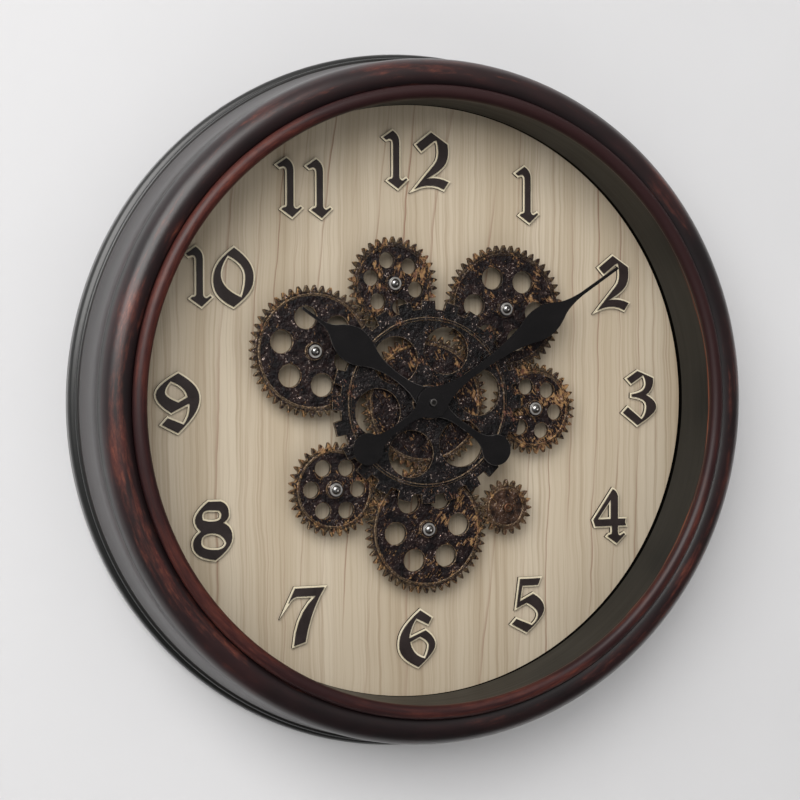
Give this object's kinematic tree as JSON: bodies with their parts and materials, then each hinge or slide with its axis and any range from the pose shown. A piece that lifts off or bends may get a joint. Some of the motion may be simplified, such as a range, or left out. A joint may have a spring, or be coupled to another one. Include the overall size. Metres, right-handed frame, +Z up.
{
  "type": "wall clock",
  "caption": "Round wall clock with a moulded frame, raised numerals and a train of turning gears in front of a wood dial, hung by a keyhole plate.",
  "frame": {"origin": "centre of the keyhole hanger's round eye, on the wall plane", "axes": "+Z up, the dial faces -Y, and the wall is the plane Y = 0"},
  "size_m": [0.5402, 0.0813, 0.5402],
  "materials": {
    "frame_plastic": "dark espresso, satin, rubbed through to red brown on the edges",
    "liner_plastic": "dark olive grey, satin",
    "dial_wood": "pale beige boards with a printed grain, matt",
    "block_wood": "raw softwood",
    "plated_steel": "zinc plated",
    "bright_steel": "bright plated",
    "gear_plastic": "near black bronze paint dry brushed with copper",
    "post_metal": "bronze paint",
    "brass": "turned brass",
    "movement_plastic": "black moulded plastic",
    "pale_plastic": "pale moulded plastic",
    "hand_metal": "black satin paint",
    "numeral_cream": "cream",
    "numeral_dark": "dark grey brown",
    "cell_can": "plain can"
  },
  "bodies": {
    "case": {"case_ring": "frame_plastic", "inner_liner": "liner_plastic", "dial_board": "dial_wood", "dial_screws": "plated_steel", "hanger_block": "block_wood", "hanger_plate": "plated_steel", "hanger_screws": "plated_steel", "numeral_backings": "numeral_cream", "numeral_faces": "numeral_dark", "gear_posts": "post_metal", "post_nuts": "plated_steel", "gear_washers": "bright_steel", "gear_screws": "bright_steel", "centre_sleeve": "post_metal", "cover_plate": "gear_plastic", "bushing_nut": "brass", "movement_case": "movement_plastic", "movement_contacts": "plated_steel", "movement_battery": "cell_can", "motor_case": "movement_plastic", "motor_contacts": "plated_steel", "motor_battery": "cell_can", "motor_screws": "plated_steel"},
    "centre": {"centre_gear": "gear_plastic"},
    "left": {"left_gear": "gear_plastic"},
    "top": {"top_gear": "gear_plastic"},
    "upper_right": {"upper_right_gear": "gear_plastic"},
    "right": {"right_gear": "gear_plastic"},
    "lower": {"lower_gear": "gear_plastic"},
    "lower_left": {"lower_left_gear": "gear_plastic"},
    "pinion": {"drive_pinion": "gear_plastic", "motor_shaft": "brass"},
    "minute": {"minute_hand": "hand_metal", "minute_arbor": "brass", "hand_nut": "hand_metal"},
    "hour": {"hour_hand": "hand_metal", "hour_tube": "brass"},
    "knob": {"setting_knob": "pale_plastic"},
    "switch": {"power_switch": "pale_plastic"}
  },
  "joints": [
    {"name": "centre_gear_spin", "type": "hinge", "parent": "case", "child": "centre", "pos_m": [0, -0.0313, -0.232], "axis": [0, 1, 0], "continuous": true},
    {"name": "left_gear_spin", "type": "hinge", "parent": "case", "child": "left", "pos_m": [-0.09003, -0.0313, -0.19304], "axis": [0, 1, 0], "continuous": true},
    {"name": "top_gear_spin", "type": "hinge", "parent": "case", "child": "top", "pos_m": [-0.02623, -0.0313, -0.14137], "axis": [0, 1, 0], "continuous": true},
    {"name": "upper_right_gear_spin", "type": "hinge", "parent": "case", "child": "upper_right", "pos_m": [0.06665, -0.0313, -0.16002], "axis": [0, 1, 0], "continuous": true},
    {"name": "right_gear_spin", "type": "hinge", "parent": "case", "child": "right", "pos_m": [0.09161, -0.0313, -0.23824], "axis": [0, 1, 0], "continuous": true},
    {"name": "lower_gear_spin", "type": "hinge", "parent": "case", "child": "lower", "pos_m": [0.00137, -0.0313, -0.33009], "axis": [0, 1, 0], "continuous": true},
    {"name": "lower_left_gear_spin", "type": "hinge", "parent": "case", "child": "lower_left", "pos_m": [-0.07392, -0.0313, -0.29735], "axis": [0, 1, 0], "continuous": true},
    {"name": "drive_pinion_spin", "type": "hinge", "parent": "case", "child": "pinion", "pos_m": [0.06788, -0.0313, -0.31547], "axis": [0, 1, 0], "continuous": true},
    {"name": "minute_hand_turn", "type": "hinge", "parent": "case", "child": "minute", "pos_m": [0, -0.0313, -0.232], "axis": [0, 1, 0], "continuous": true},
    {"name": "hour_hand_turn", "type": "hinge", "parent": "case", "child": "hour", "pos_m": [0, -0.0313, -0.232], "axis": [0, 1, 0], "continuous": true},
    {"name": "setting_knob_turn", "type": "hinge", "parent": "case", "child": "knob", "pos_m": [0, -0.0313, -0.2175], "axis": [0, 1, 0], "continuous": true},
    {"name": "power_switch_slide", "type": "slide", "parent": "case", "child": "switch", "axis": [1, 0, 0], "range_m": [0, 0.004]}
  ],
  "couplings": [
    {"joint": "left_gear_spin", "follows": "centre_gear_spin", "ratio": -1.0417},
    {"joint": "upper_right_gear_spin", "follows": "centre_gear_spin", "ratio": -1.0417},
    {"joint": "lower_gear_spin", "follows": "centre_gear_spin", "ratio": -1.0417},
    {"joint": "top_gear_spin", "follows": "centre_gear_spin", "ratio": 1.4706},
    {"joint": "right_gear_spin", "follows": "centre_gear_spin", "ratio": 1.4706},
    {"joint": "lower_left_gear_spin", "follows": "centre_gear_spin", "ratio": 1.4706},
    {"joint": "drive_pinion_spin", "follows": "centre_gear_spin", "ratio": 2.5},
    {"joint": "hour_hand_turn", "follows": "minute_hand_turn", "ratio": 0.083333},
    {"joint": "setting_knob_turn", "follows": "minute_hand_turn", "ratio": -1}
  ]
}
